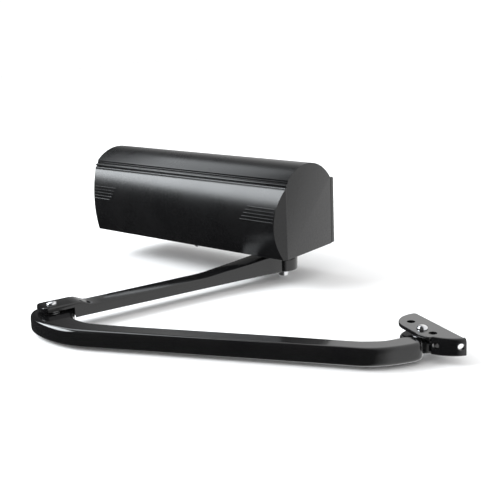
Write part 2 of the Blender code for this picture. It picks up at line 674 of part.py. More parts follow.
def build_forearm():
    """The outline runs round from the elbow eye's left side, along the front, then back along the rear."""
    eye = arc((0, 0), ELBOW_EYE, 68, 236, 10)
    front = [(-2, -23.6), (12, -28), (30, -30), (48, -28.9), (66, -24.3), (110, -6), (180, 23.2)]
    front += [(251, 52.8), (280, 65), (300, 73.5), (312, 82.5), (322, 94), (330.6, 108.5)]
    nose = [(329.5, 117), (323, 121.8), (315, 121.2), (308.5, 115.5), (301.5, 103.5), (294, 97)]
    back = [(283, 90), (260, 80.5), (240, 72.6), (200, 56.2), (130, 26.8), (92, 11), (70, 2.6), (56, -1.8)]
    back += [(44, -2.6), (33, -0.6), (22, 6.5), (13, 16)]
    outline = in_mm(front + nose + back)
    mesh = flat_mesh("forearm", [smooth(eye + outline, 2)], FOREARM_TOP - FOREARM_HEIGHT, FOREARM_TOP)
    merge_caps(mesh)
    arm = add("forearm", mesh, BLACK_ENAMEL, (*ELBOW, BOTTOM))
    bevel(arm, FOREARM_EDGE, 3)
    pivot = (*SHOE_PIVOT, BOTTOM)
    base = SHOE_EYE_TOP - SHOE_EYE_THICK
    cut(arm, pin("over_eye", 11.8 * MM, SHOE_EYE_TOP, 0, pivot, BLACK_ENAMEL, steps=PLAIN))
    edge = 2 * MM
    profile = [(0, SHOE_EYE_TOP), (SHOE_EYE - edge, SHOE_EYE_TOP), (SHOE_EYE, SHOE_EYE_TOP - edge)]
    profile += [(SHOE_EYE, base + edge), (SHOE_EYE - edge, base), (0, base)]
    join(arm, turned("shoe_eye", profile, pivot, BLACK_ENAMEL, steps=FINE))
    hole = PIVOT_RADIUS + 0.4 * MM
    cut(arm, pin("elbow_hole", hole, -60 * MM, 0, (*ELBOW, BOTTOM), BLACK_ENAMEL, steps=PLAIN))
    cut(arm, pin("shoe_hole", hole, -60 * MM, 0, pivot, BLACK_ENAMEL, steps=PLAIN))


def shoe_curve(radius, start):
    """The shoe's right front curve, from a start angle to its straight edge; x runs along that edge."""
    centre = (SHOE_RIGHT_CENTRE, SHOE_FRONT + SHOE_RIGHT_BEND)
    end = 360 - math.degrees(math.asin((centre[1] - SHOE_BACK) / SHOE_RIGHT_BEND))
    return arc(centre, radius, start, end, 10)


def build_shoe():
    """A half round plate, whose right hand front edge is turned down into a flange with two screw holes."""
    place = (*SHOE_PIVOT, BOTTOM)
    turn = Matrix.Rotation(SHOE_ANGLE, 4, "Z")
    left = arc((SHOE_LEFT + SHOE_LEFT_BEND, SHOE_FRONT + SHOE_LEFT_BEND), SHOE_LEFT_BEND, 180, 270, 8)
    outline = left + shoe_curve(SHOE_RIGHT_BEND, 270) + [(SHOE_LEFT, SHOE_BACK)]
    holes = [arc((0, 0), PIVOT_RADIUS + 0.25 * MM, 0, 345, 23)]
    for centre in in_mm([(-19.5, 1.4), (13.1, 1.7)]):
        holes.append(arc(centre, 3.6 * MM, 0, 337.5, 15))
    plate = flat_mesh("shoe_bracket", [outline] + holes, SHOE_TOP - SHOE_SHEET, SHOE_TOP)
    plate.transform(turn)
    shoe = add("shoe_bracket", plate, BLACK_ENAMEL, place)
    outline = shoe_curve(SHOE_RIGHT_BEND, FLANGE_START)
    outline += shoe_curve(SHOE_RIGHT_BEND - SHOE_SHEET, FLANGE_START)[::-1]
    flange = flat_mesh("flange", [outline], SHOE_TOP - SHOE_DROP, SHOE_TOP - 0.5 * MM)
    flange.transform(turn)
    join(shoe, add("flange", flange, BLACK_ENAMEL, place))
    for number, angle in enumerate(FLANGE_HOLES):
        way = math.radians(angle)
        hole = pin(f"flange_hole_{number}", 2.8 * MM, 28 * MM, 40 * MM, place, BLACK_ENAMEL, "FRONT")
        centre = Vector((SHOE_RIGHT_CENTRE, SHOE_FRONT + SHOE_RIGHT_BEND, FLANGE_HOLE_RISE))
        hole.location += turn @ centre
        hole.rotation_euler.z = SHOE_ANGLE + way + math.pi / 2
        cut(shoe, hole)


def build_shoe_pivot():
    place = (*SHOE_PIVOT, BOTTOM)
    head = [(0, -7.6), (2.6, -8.1), (4.2, -9.1), (4.75, -10.4), (4.5, -10.4), (4.5, -29.4), (0, -29.4)]
    turned("shoe_rivet", in_mm(head), place, ZINC, steps=PLAIN)
    ring("shoe_washer", 9 * MM, 4.8 * MM, -16.2 * MM, -14.2 * MM, place, ZINC, steps=PLAIN)
    ring("shoe_end_washer", 9 * MM, 4.8 * MM, -28.6 * MM, -26.8 * MM, place, ZINC, steps=PLAIN)


build_cover()
build_cover_fixing()
build_plate()
build_body()
build_plugs()
build_spring()
build_piston()
build_pinion()
build_pinion_supports()
build_valves()
build_main_arm()
build_arm_fixing()
build_elbow()
build_forearm()
build_shoe()
build_shoe_pivot()

for piece in PARTS.objects:
    if piece.type == "MESH":
        piece.data.shade_smooth()
        piece.data.set_sharp_from_angle(angle=math.radians(35))
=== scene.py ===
"""Door closer: finished surfaces, materials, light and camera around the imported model."""

import json
import math

import bmesh
import bpy
from mathutils import Matrix, Vector


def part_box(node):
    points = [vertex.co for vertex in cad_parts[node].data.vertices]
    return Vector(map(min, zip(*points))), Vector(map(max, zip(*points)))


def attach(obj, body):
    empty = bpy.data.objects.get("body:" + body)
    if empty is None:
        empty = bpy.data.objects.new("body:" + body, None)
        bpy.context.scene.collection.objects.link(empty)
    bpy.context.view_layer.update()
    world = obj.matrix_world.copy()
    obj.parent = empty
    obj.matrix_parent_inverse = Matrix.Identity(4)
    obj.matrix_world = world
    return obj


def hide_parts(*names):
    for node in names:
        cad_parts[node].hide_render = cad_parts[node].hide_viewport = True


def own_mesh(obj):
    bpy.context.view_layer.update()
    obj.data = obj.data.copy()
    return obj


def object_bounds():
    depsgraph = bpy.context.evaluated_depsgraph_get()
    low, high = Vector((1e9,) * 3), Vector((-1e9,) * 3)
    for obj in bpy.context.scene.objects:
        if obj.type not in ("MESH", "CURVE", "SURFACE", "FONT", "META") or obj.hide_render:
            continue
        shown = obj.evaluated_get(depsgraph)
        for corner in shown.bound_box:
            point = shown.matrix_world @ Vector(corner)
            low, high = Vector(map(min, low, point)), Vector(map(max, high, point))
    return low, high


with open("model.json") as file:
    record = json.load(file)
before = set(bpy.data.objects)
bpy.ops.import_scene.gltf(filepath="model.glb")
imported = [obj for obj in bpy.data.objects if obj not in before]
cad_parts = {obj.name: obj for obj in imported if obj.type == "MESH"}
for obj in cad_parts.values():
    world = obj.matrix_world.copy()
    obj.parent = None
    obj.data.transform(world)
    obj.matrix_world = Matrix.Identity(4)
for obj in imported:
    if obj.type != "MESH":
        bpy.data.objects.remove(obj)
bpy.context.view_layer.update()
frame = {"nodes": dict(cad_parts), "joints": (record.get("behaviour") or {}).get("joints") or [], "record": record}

MM = 0.001
SCENE = bpy.context.scene

# Driving places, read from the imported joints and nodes; HALF is half of the cover's length
JOINTS = {joint["name"]: joint for joint in frame["joints"]}
SPINDLE = Vector(JOINTS["spindle"]["pos_m"])
ELBOW = Vector(JOINTS["elbow"]["pos_m"])
SHOE_PIVOT = Vector(JOINTS["shoe_pivot"]["pos_m"])
PLATE_LOW, PLATE_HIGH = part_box("back_plate")
BOTTOM = PLATE_LOW.z
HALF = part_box("cover")[1].x
ARM_LENGTH = (ELBOW - SPINDLE).length

# Number of sides on turned pieces, with a finer count for the large ones
ROUND = 64
FINE = 96


# ---------------------------------------------------------------- materials


def node_of(tree, kind, **values):
    made = tree.nodes.new(kind)
    for key, value in values.items():
        if hasattr(made, key):
            setattr(made, key, value)
        else:
            made.inputs[key.replace("_", " ")].default_value = value
    return made


def noise(tree, scale, detail=3.0, roughness=0.5, stretch=(1, 1, 1)):
    """A noise texture in the piece's own metres; a larger scale is finer."""
    place = node_of(tree, "ShaderNodeTexCoord")
    mapping = node_of(tree, "ShaderNodeMapping")
    mapping.inputs["Scale"].default_value = stretch
    tree.links.new(place.outputs["Object"], mapping.inputs["Vector"])
    made = node_of(tree, "ShaderNodeTexNoise", Scale=scale, Detail=detail, Roughness=roughness)
    tree.links.new(mapping.outputs["Vector"], made.inputs["Vector"])
    return made.outputs["Fac"]


def spread(tree, source, low, high):
    """Maps the middle of a noise output onto the range from low to high."""
    made = node_of(tree, "ShaderNodeMapRange")
    made.inputs["From Min"].default_value = 0.3
    made.inputs["From Max"].default_value = 0.7
    made.inputs["To Min"].default_value = low
    made.inputs["To Max"].default_value = high
    tree.links.new(source, made.inputs["Value"])
    return made.outputs["Result"]


def finish(name, dark, light, smooth, rough, metallic=0.0, stain=14, grain=900, grain_depth=0.02,
           waves=60, wave_depth=0.0, stretch=(1, 1, 1), coat=0.0):
    """A worn-in surface: colour and gloss wander slowly, and two sizes of bump break up the reflections."""
    made = bpy.data.materials.new(name)
    made.use_nodes = True
    tree = made.node_tree
    shader = tree.nodes["Principled BSDF"]
    shader.inputs["Metallic"].default_value = metallic
    shader.inputs["Specular IOR Level"].default_value = 0.5
    shader.inputs["Coat Weight"].default_value = coat
    shader.inputs["Coat Roughness"].default_value = 0.06
    patches = noise(tree, stain, 5, 0.6)
    specks = noise(tree, grain, 4, 0.6, stretch)
    mix = node_of(tree, "ShaderNodeMix", data_type="RGBA")
    mix.inputs[6].default_value = (*dark, 1)
    mix.inputs[7].default_value = (*light, 1)
    tree.links.new(spread(tree, patches, 0, 1), mix.inputs[0])
    tree.links.new(mix.outputs[2], shader.inputs["Base Color"])
    both = node_of(tree, "ShaderNodeMath", operation="ADD")
    tree.links.new(spread(tree, patches, smooth, rough), both.inputs[0])
    tree.links.new(spread(tree, specks, -0.02, 0.02), both.inputs[1])
    tree.links.new(both.outputs[0], shader.inputs["Roughness"])
    bump = node_of(tree, "ShaderNodeBump")
    bump.inputs["Strength"].default_value = 1
    bump.inputs["Distance"].default_value = grain_depth * MM
    tree.links.new(specks, bump.inputs["Height"])
    if wave_depth:
        wide = node_of(tree, "ShaderNodeBump")
        wide.inputs["Strength"].default_value = 1
        wide.inputs["Distance"].default_value = wave_depth * MM
        tree.links.new(noise(tree, waves, 1), wide.inputs["Height"])
        tree.links.new(wide.outputs["Normal"], bump.inputs["Normal"])
    tree.links.new(bump.outputs["Normal"], shader.inputs["Normal"])
    return made


FINISHES = {
    "black_plastic": finish(
        "satin_black_plastic", (0.003, 0.003, 0.0034), (0.0055, 0.0055, 0.006), 0.25, 0.31, grain=2200,
        grain_depth=0.006,
    ),
    "black_enamel": finish(
        "gloss_black_enamel", (0.0035, 0.0035, 0.004), (0.006, 0.006, 0.006), 0.09, 0.17, grain=1400,
        grain_depth=0.003, waves=140, wave_depth=0.03, coat=0.3,
    ),
    "bare_steel": finish(
        "turned_steel", (0.42, 0.42, 0.43), (0.6, 0.6, 0.61), 0.24, 0.4, 1, grain=700, grain_depth=0.01,
        stretch=(6, 0.4, 0.4),
    ),
    "spring_steel": finish(
        "oiled_spring_wire", (0.16, 0.16, 0.17), (0.3, 0.29, 0.28), 0.22, 0.42, 1, stain=40, grain=1200,
        grain_depth=0.02,
    ),
    "zinc": finish(
        "bright_zinc_plate", (0.62, 0.63, 0.66), (0.8, 0.8, 0.8), 0.14, 0.3, 1, stain=90, grain=1500,
        grain_depth=0.006,
    ),
    "cast_metal": finish(
        "painted_casting", (0.07, 0.07, 0.075), (0.13, 0.13, 0.13), 0.45, 0.65, 0.4, grain=500,
        grain_depth=0.12, waves=90, wave_depth=0.2,
    ),
    "brass": finish(
        "turned_brass", (0.55, 0.36, 0.13), (0.75, 0.54, 0.24), 0.2, 0.38, 1, stain=60, grain=900,
        grain_depth=0.01,
    ),
    "rubber": finish(
        "seal_rubber", (0.012, 0.012, 0.012), (0.03, 0.03, 0.03), 0.6, 0.8, grain=1300, grain_depth=0.05,
    ),
}


# ---------------------------------------------------------------- outlines


def arc(centre, radius, start, end, steps):
    """Points on a circle, from the start angle to the end angle in degrees, both ends included."""
    turns = [math.radians(start + (end - start) * step / steps) for step in range(steps + 1)]
    return [(centre[0] + radius * math.cos(a), centre[1] + radius * math.sin(a)) for a in turns]


def circle_through(first, middle, last):
    """Centre and radius of the circle through three points."""
    a, b, c = Vector(first), Vector(middle), Vector(last)
    lean = 2 * (a.x * (b.y - c.y) + b.x * (c.y - a.y) + c.x * (a.y - b.y))
    squares = [point.length_squared for point in (a, b, c)]
    x = (squares[0] * (b.y - c.y) + squares[1] * (c.y - a.y) + squares[2] * (a.y - b.y)) / lean
    y = (squares[0] * (c.x - b.x) + squares[1] * (a.x - c.x) + squares[2] * (b.x - a.x)) / lean
    return Vector((x, y)), (a - Vector((x, y))).length


def smooth(points, steps):
    """A closed Catmull-Rom curve through the points, with equal steps between neighbours."""
    count = len(points)
    found = []
    for index in range(count):
        p0, p1, p2, p3 = (Vector(points[(index + shift) % count]) for shift in (-1, 0, 1, 2))
        for step in range(steps):
            t = step / steps
            curve = 2 * p1 + (p2 - p0) * t + (2 * p0 - 5 * p1 + 4 * p2 - p3) * t * t
            curve += (3 * p1 - p0 - 3 * p2 + p3) * t**3
            found.append(tuple(curve / 2))
    return found


def rounded(points, radius, steps=4, closed=False):
    """Replaces each corner of a polyline by an arc, no larger than its shorter side allows."""
    count = len(points)
    found = []
    for index, point in enumerate(points):
        if not closed and index in (0, count - 1):
            found.append(tuple(point))
            continue
        here = Vector(point)
        before = Vector(points[index - 1]) - here
        after = Vector(points[(index + 1) % count]) - here
        turn = before.angle(after)
        if turn > math.radians(170) or min(before.length, after.length) < 1e-7:
            found.append(tuple(here))
            continue
        reach = min(radius / math.tan(turn / 2), before.length * 0.45, after.length * 0.45)
        size = reach * math.tan(turn / 2)
        middle = here + (before.normalized() + after.normalized()).normalized() * (size / math.sin(turn / 2))
        first = here + before.normalized() * reach - middle
        last = here + after.normalized() * reach - middle
        for step in range(steps + 1):
            way = first.lerp(last, step / steps).normalized()
            found.append(tuple(middle + way * size))
    return found


def inwards(outline, distance):
    """A closed anticlockwise outline moved inwards along its corners' bisectors."""
    count = len(outline)
    found = []
    for index in range(count):
        here = Vector(outline[index])
        before = (here - Vector(outline[index - 1])).normalized()
        after = (Vector(outline[(index + 1) % count]) - here).normalized()
        normals = Vector((-before.y, before.x)), Vector((-after.y, after.x))
        bisector = (normals[0] + normals[1]).normalized()
        found.append(tuple(here + bisector * (distance / max(0.5, bisector.dot(normals[0])))))
    return found


def in_mm(points):
    return [(x * MM, y * MM) for x, y in points]


def anticlockwise(outline):
    area = sum(
        a[0] * b[1] - a[1] * b[0] for a, b in zip(outline, outline[1:] + outline[:1])
    )
    return outline if area > 0 else outline[::-1]


# ---------------------------------------------------------------- solids


def mesh_object(name, points, faces):
    mesh = bpy.data.meshes.new(name)
    mesh.from_pydata(points, [], faces)
    work = bmesh.new()
    work.from_mesh(mesh)
    bmesh.ops.remove_doubles(work, verts=work.verts, dist=1e-6)
    bmesh.ops.recalc_face_normals(work, faces=work.faces)
    work.to_mesh(mesh)
    work.free()
    made = bpy.data.objects.new(name, mesh)
    SCENE.collection.objects.link(made)
    return made


def stack(name, rings):
    """A solid skinned over rings of equally many points, with a flat face on its first and last ring."""
    size = len(rings[0])
    points = [tuple(point) for ring in rings for point in ring]
    faces = [list(range(size)), list(range((len(rings) - 1) * size, len(rings) * size))]
    for level in range(len(rings) - 1):
        for index in range(size):
            after = (index + 1) % size
            base = level * size
            faces.append([base + index, base + after, base + size + after, base + size + index])
    return mesh_object(name, points, faces)


def slab(name, outline, low, high, edge, steps=5):
    """An outline extruded from low to high, with round edges and a flat margin inside each flat face."""
    outline = anticlockwise(outline)
    turns = [math.pi / 2 * step / steps for step in range(steps + 1)]
    rings = [(edge * 1.25, low)]
    rings += [(edge * (1 - math.sin(turn)), low + edge * (1 - math.cos(turn))) for turn in turns]
    rings += [(edge * (1 - math.cos(turn)), high - edge * (1 - math.sin(turn))) for turn in turns]
    rings += [(edge * 1.25, high)]
    found = []
    for inset, height in rings:
        found.append([(x, y, height) for x, y in inwards(outline, inset)])
    return stack(name, found)


def lathe(name, profile, edge=0.0, steps=ROUND, ring=False):
    """A solid turned about Z from (radius, height) points, with its corners rounded by edge."""
    if edge:
        profile = rounded(profile, edge, 4, ring)
    points = []
    for turn in range(steps):
        angle = 2 * math.pi * turn / steps
        points += [(r * math.cos(angle), r * math.sin(angle), z) for r, z in profile]
    size = len(profile)
    faces = []
    for turn in range(steps):
        here, after = turn * size, (turn + 1) % steps * size
        for index in range(size if ring else size - 1):
            follow = (index + 1) % size
            corners = [here + index, here + follow, after + follow, after + index]
            if profile[index][0] < 1e-7:
                corners = [here + index, here + follow, after + follow]
            elif profile[follow][0] < 1e-7:
                corners = [here + index, here + follow, after + index]
            faces.append(corners)
    return mesh_object(name, points, faces)


def block(name, low, high):
    outline = [(low[0], low[1]), (high[0], low[1]), (high[0], high[1]), (low[0], high[1])]
    return stack(name, [[(x, y, z) for x, y in outline] for z in (low[2], high[2])])


def drill(radius, low, high, steps=ROUND):
    return lathe("tool", [(0, high), (radius, high), (radius, low), (0, low)], steps=steps)


def moved(made, place=(0, 0, 0), turn=None):
    """Turns, then moves, a solid's mesh."""
    if turn is not None:
        made.data.transform(turn)
    made.data.transform(Matrix.Translation(place))
    return made


def combine(target, operation, *tools):
    """Applies a Boolean with each tool and removes the tool."""
    for tool in tools:
        change = target.modifiers.new("change", "BOOLEAN")
        change.operation = operation
        change.object = tool
        change.solver = "EXACT"
        bpy.context.view_layer.update()
        graph = bpy.context.evaluated_depsgraph_get()
        mesh = bpy.data.meshes.new_from_object(target.evaluated_get(graph))
        target.modifiers.clear()
        target.data = mesh
        bpy.data.objects.remove(tool)
    return target


def cut(target, *tools):
    return combine(target, "DIFFERENCE", *tools)


def join(target, *tools):
    return combine(target, "UNION", *tools)


def fit(made, body, slot, *nodes, sharp=32):
    """Gives a finished solid its material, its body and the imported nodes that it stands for."""
    made.data.materials.clear()
    made.data.materials.append(FINISHES[slot])
    made.data.shade_smooth()
    made.data.set_sharp_from_angle(angle=math.radians(sharp))
    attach(made, body)
    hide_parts(*nodes)
    return made


def above(height):
    """World Z of a height given in millimetres from the cover's bottom edge."""
    return BOTTOM + height * MM


# ---------------------------------------------------------------- cover

ARCH_CENTRE = (-48 * MM, 43.9 * MM)
ARCH_RADIUS = 51.5 * MM
WALL = 3 * MM
# Rounding of the cover's ends, kept under the grooves' own corner radius so that the section stays whole
COVER_EDGE = 0.22 * MM
END_DEPTH = 85.8 * MM
FACET_ANGLE = math.radians(60)
BULGE_TOP = (-86.6 * MM, 74 * MM)
BULGE_MIDDLE = (-98.3 * MM, 40 * MM)
BULGE_FOOT = (-91 * MM, 2.6 * MM)
BULGE_CENTRE, BULGE_RADIUS = circle_through(BULGE_TOP, BULGE_MIDDLE, BULGE_FOOT)
PLATE_FRONT = PLATE_LOW.y - 0.3 * MM


def bulge_arc(inset, steps):
    """The front's arc, from its top to its foot, moved inwards by inset."""
    ends = [Vector(point) - BULGE_CENTRE for point in (BULGE_TOP, BULGE_FOOT)]
    first, last = (math.degrees(math.atan2(end.y, end.x)) % 360 for end in ends)
    return arc(BULGE_CENTRE, BULGE_RADIUS - inset, first, last, steps)


def outer_profile():
    """The cover's section as (y, height) points: arch, two grooves, bulge, rounded foot."""
    start = math.degrees(math.acos((PLATE_FRONT - ARCH_CENTRE[0]) / ARCH_RADIUS))
    points = arc(ARCH_CENTRE, ARCH_RADIUS, start, 130.8, 60)
    grooves = [(-81.3, 81.6), (-82.3, 81.2), (-82.3, 79.3), (-85.1, 78.9), (-85.5, 77.9), (-85.1, 77.2)]
    grooves += [(-84.0, 76.9), (-84.1, 76.0), (-86.1, 75.8), (-86.5, 75.0)]
    points += rounded(in_mm(grooves), 0.35 * MM, 3)
    points += bulge_arc(0, 44)
    foot = in_mm([(-91, 2.6), (-90.2, 0), (-86, 0)])
    points += rounded(foot, 2.2 * MM, 6)[1:]
    return points + [(PLATE_FRONT, 0)]


def inner_profile():
    start = math.degrees(math.acos((PLATE_FRONT - ARCH_CENTRE[0]) / (ARCH_RADIUS - WALL)))
    points = arc(ARCH_CENTRE, ARCH_RADIUS - WALL, start, 131.5, 30)
    points.insert(0, (5 * MM, points[0][1]))
    points += in_mm([(-81, 76)]) + bulge_arc(WALL, 20)
    return points + in_mm([(-86, 3), (5, 3)])


def along_x(name, profile, ends, edge):
    """A section swept along X between two ends, whose outer edges are rounded by edge."""
    profile = anticlockwise(profile)
    steps = 3
    rings = []
    for side in (-1, 1):
        turns = [math.pi / 2 * step / steps for step in range(steps + 1)]
        if not edge:
            turns = [0]
        for turn in turns if side < 0 else turns[::-1]:
            inset = edge * (1 - math.sin(turn))
            place = side * (ends - edge * (1 - math.cos(turn)))
            rings.append([(place, y, BOTTOM + z) for y, z in inwards(profile, inset)])
    return stack(name, rings)


def facet_tool(side, inset):
    """A wedge that takes the bulge's corner off at one end: side is +1 at the spindle's end."""
    reach = 40 * MM
    corner = HALF - inset / math.sin(FACET_ANGLE)
    back = -END_DEPTH - reach * math.sin(FACET_ANGLE)
    outline = [(corner, -END_DEPTH), (corner - reach * math.cos(FACET_ANGLE), back)]
    outline += [(corner + reach, back), (corner + reach, -END_DEPTH)]
    outline = anticlockwise([(side * x, y) for x, y in outline])
    return stack("facet", [[(x, y, z) for x, y in outline] for z in (above(-10), above(110))])


def slat(side, number):
    """One raised vent slat that follows the bulge: number 0 is the top one."""
    height = (54.4 - 3.45 * number) * MM
    lean = math.asin((height - BULGE_CENTRE.y) / BULGE_RADIUS)
    normal = Vector((-math.cos(lean), math.sin(lean)))
    across = Vector((normal.y, -normal.x))
    surface = BULGE_CENTRE + normal * BULGE_RADIUS
    shape = in_mm([(-0.85, -0.8), (0.85, -0.8), (0.8, 0.3), (0.35, 0.75), (-0.35, 0.75), (-0.8, 0.3)])
    outline = []
    for along, out in shape:
        outline.append(surface + across * along + normal * out)
    # Each group's inner end steps a little to the left from one slat to the next going down
    inner = (44.5 - 2.2 * number) * MM - HALF if side < 0 else (242.5 - 2.25 * number) * MM - HALF
    proud = max(0.0, -(BULGE_CENTRE.x - math.cos(lean) * BULGE_RADIUS) - END_DEPTH)
    outer = side * (HALF - proud / math.tan(FACET_ANGLE) - 1.1 * MM)
    low, high = sorted((inner, outer))
    rings = []
    for place, shrink in ((low, 0.55), (low + 0.5 * MM, 0), (high - 0.5 * MM, 0), (high, 0.55)):
        middle = surface - normal * 0.3 * MM
        rings.append([(place, *(point.lerp(middle, shrink))) for point in outline])
    return stack("slat", [[(x, y, BOTTOM + z) for x, y, z in ring] for ring in rings])


def build_cover():
    cover = along_x("cover_moulding", outer_profile(), HALF, COVER_EDGE)
    hollow = along_x("hollow", inner_profile(), HALF - WALL, 0)
    for side in (-1, 1):
        cut(cover, facet_tool(side, 0))
        cut(hollow, facet_tool(side, WALL))
    cut(cover, hollow)
    x, y = SPINDLE.x, SPINDLE.y
    slot = block("slot", (x - 15 * MM, y, above(-5)), (x + 15 * MM, 10 * MM, above(8)))
    mouth = moved(drill(15.2 * MM, above(-5), above(8)), (x, y, 0))
    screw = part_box("cover_screw")
    place = ((screw[0].x + screw[1].x) / 2, (screw[0].y + screw[1].y) / 2, 0)
    cut(cover, slot, mouth, moved(drill(2.1 * MM, above(-5), above(8)), place))
    for side in (-1, 1):
        for number in range(5):
            join(cover, slat(side, number))
    fit(cover, "housing", "black_plastic", "cover", sharp=28)


def build_plate():
    """The mounting plate, with eight countersunk screw holes and four plain holes for the body's bolts."""
    outline = [(-HALF, PLATE_LOW.z), (HALF, PLATE_LOW.z), (HALF, PLATE_HIGH.z), (-HALF, PLATE_HIGH.z)]
    thick = PLATE_HIGH.y - PLATE_LOW.y
    plate = slab("plate_pressing", rounded(outline, 1.5 * MM, 5, True), 0, thick, 0.6 * MM, 3)
    moved(plate, (0, PLATE_HIGH.y, 0), Matrix.Rotation(math.pi / 2, 4, "X"))
    side = Matrix.Rotation(math.pi / 2, 4, "X")
    for x in (-128, -68, 22, 92):
        for rise in (16, 57):
            sink = [(0, 6), (6.2, 6), (3.4, 3.4), (3.4, -1), (0, -1)]
            cut(plate, moved(lathe("sink", in_mm(sink), steps=40), (x * MM, 0, above(rise)), side))
    for x in (-103, 57):
        for rise in (9.5, 60.5):
            cut(plate, moved(drill(3.15 * MM, -MM, 8 * MM, 32), (x * MM, 0, above(rise)), side))
    fit(plate, "housing", "black_enamel", "back_plate")


# ---------------------------------------------------------------- main arm

LUG_TOP = -7.7
LUG_UNDER = -12.5
TIP = ARM_LENGTH / MM + 12.3
# The arm's hollow above the forearm's eye, and the way for the rivet
EYE_RELIEF = 21.6 * MM
RIVET_WAY = 4.8 * MM


def ramp(value, points):
    """Reads a piecewise linear curve, given as (value, result) points."""
    for (a, low), (b, high) in zip(points, points[1:]):
        if value <= b:
            return low + (high - low) * max(0.0, (value - a) / (b - a))
    return points[-1][1]


def bar_section(s):
    """The bar's half width, top and base at a distance from the spindle, all in millimetres."""
    half = ramp(s, [(0, 11.5), (22, 13), (30, 12), (60, 11), (238, 11), (TIP - 6, 11.5), (TIP, 11.5)])
    top = [(0, -4.2), (22, -4.6), (30, -5.3), (96, -12.5), (104, -12.9), (229, -12.9), (233, -12.3)]
    top = ramp(s, top + [(242, -8.3), (247, LUG_TOP), (TIP, LUG_TOP)])
    base = ramp(s, [(0, -24.8), (14, -24.8), (252, -23.1), (TIP, -23.1)])
    if s > TIP - 6:
        half = 5.5 + math.sqrt(max(0.0, 36 - (s - TIP + 6) ** 2))
    edge = 1.6
    if s > TIP - edge:
        drop = edge - math.sqrt(max(0.0, edge**2 - (s - TIP + edge) ** 2))
        top -= drop
        half -= 0.4 * drop
    return half, top, base


def build_main_arm():
    turn = Matrix.Rotation(math.atan2(ELBOW.y - SPINDLE.y, ELBOW.x - SPINDLE.x), 4, "Z")
    stations = [6, 14, 22, 26, 30] + list(range(36, 96, 6)) + [96, 100, 104] + list(range(112, 229, 9))
    stations += [229, 231, 233, 236, 239, 242, 244.5, 247, 252, 258, 264, 268, 271, TIP - 6]
    stations += [TIP - 6 + 6 * math.sin(math.radians(10 * step)) for step in range(1, 10)]
    rings = []
    for s in stations:
        half, top, base = bar_section(s)
        corners = [(-half, base), (half, base), (half, top), (-half, top)]
        outline = []
        for point, edge in zip(corners, (1.2, 1.2, 1.7, 1.7)):
            sign = (1 if point[0] > 0 else -1, 1 if point[1] == top else -1)
            centre = (point[0] - sign[0] * edge, point[1] - sign[1] * edge)
            start = {(-1, -1): 180, (1, -1): 270, (1, 1): 0, (-1, 1): 90}[sign]
            outline += arc(centre, edge, start, start + 90, 5)
        rings.append([(s * MM, y * MM, z * MM) for y, z in outline])
    arm = moved(stack("main_arm_forging", rings), turn=turn)
    hub = [(0, -0.6), (12.5, -0.6), (12.9, -6.5), (16, -12.6), (16, -25), (0, -25)]
    hub = rounded(in_mm(hub), 1.6 * MM, 6)
    join(arm, lathe("hub", hub, steps=FINE))
    half = 5.8 * MM
    cut(arm, block("socket", (-half, -half, -19 * MM), (half, half, 5 * MM)))
    cut(arm, drill(3.1 * MM, -30 * MM, 0, 32))
    moved(arm, SPINDLE)
    relief = moved(drill(EYE_RELIEF, above(-40), above(LUG_UNDER), FINE), (ELBOW.x, ELBOW.y, 0))
    hole = moved(drill(RIVET_WAY, above(-30), above(0)), (ELBOW.x, ELBOW.y, 0))
    cut(arm, relief, hole)
    fit(arm, "spindle_arm", "black_enamel", "main_arm", sharp=34)


def turned_piece(name, profile, centre, edge, body, slot, *nodes, ring=False, steps=ROUND):
    """A turned piece about a vertical axis through centre, with heights from the cover's bottom edge."""
    made = lathe(name, in_mm(profile), edge * MM, steps, ring)
    moved(made, (centre.x, centre.y, BOTTOM))
    fit(made, body, slot, *nodes)
    return made


def washer(name, centre, outer, inner, low, high, body, node):
    profile = [(outer, high), (outer, low), (inner, low), (inner, high)]
    turned_piece(name, profile, centre, 0.35, body, "zinc", node, ring=True)


def build_arm_fixing():
    washer("hub_washer", SPINDLE, 7.5, 3.1, -26.8, -25.3, "spindle_arm", "arm_washer")
    profile = [(0, -5), (2.5, -5), (2.5, -27.1), (5, -27.1), (5, -32.2), (0, -32.2)]
    screw = lathe("hub_screw", rounded(in_mm(profile), 0.7 * MM, 5))
    cut(screw, drill(2.4 * MM, -40 * MM, -29.4 * MM, 6))
    moved(screw, (SPINDLE.x, SPINDLE.y, BOTTOM))
    fit(screw, "spindle_arm", "zinc", "arm_screw")


def dome(base, top, radius, reach):
    """The (radius, height) points of a rivet's domed head, from its middle out to its rim."""
    return [(radius * math.sin(a), base + (top - base) * math.cos(a)) for a in reach]


def build_elbow():
    quarter = [math.pi / 2 * step / 10 for step in range(11)]
    head = dome(-7.4, -5.2, 5.2, quarter)
    shank = [(4.5, -7.42), (4.5, -33.4), (0, -33.4)]
    turned_piece("elbow_pin", head + shank, ELBOW, 0, "spindle_arm", "zinc", "elbow_rivet")
    washer("elbow_top_ring", ELBOW, 9, 4.8, -14.2, -12.8, "spindle_arm", "elbow_washer")
    washer("elbow_low_ring", ELBOW, 8.5, 4.8, -32.6, -30.8, "spindle_arm", "elbow_end_washer")


# ---------------------------------------------------------------- forearm

FOREARM_TOP = -14.5
FOREARM_BASE = -30.5
ELBOW_EYE = 20.5
SHOE_EYE = 18.8
EYE_TOP = -16.5
EYE_BASE = -26.5
EYE_HOLE = 4.9 * MM
EYE_CLEARANCE = 11.8 * MM
FOREARM_EDGE = 4.4 * MM


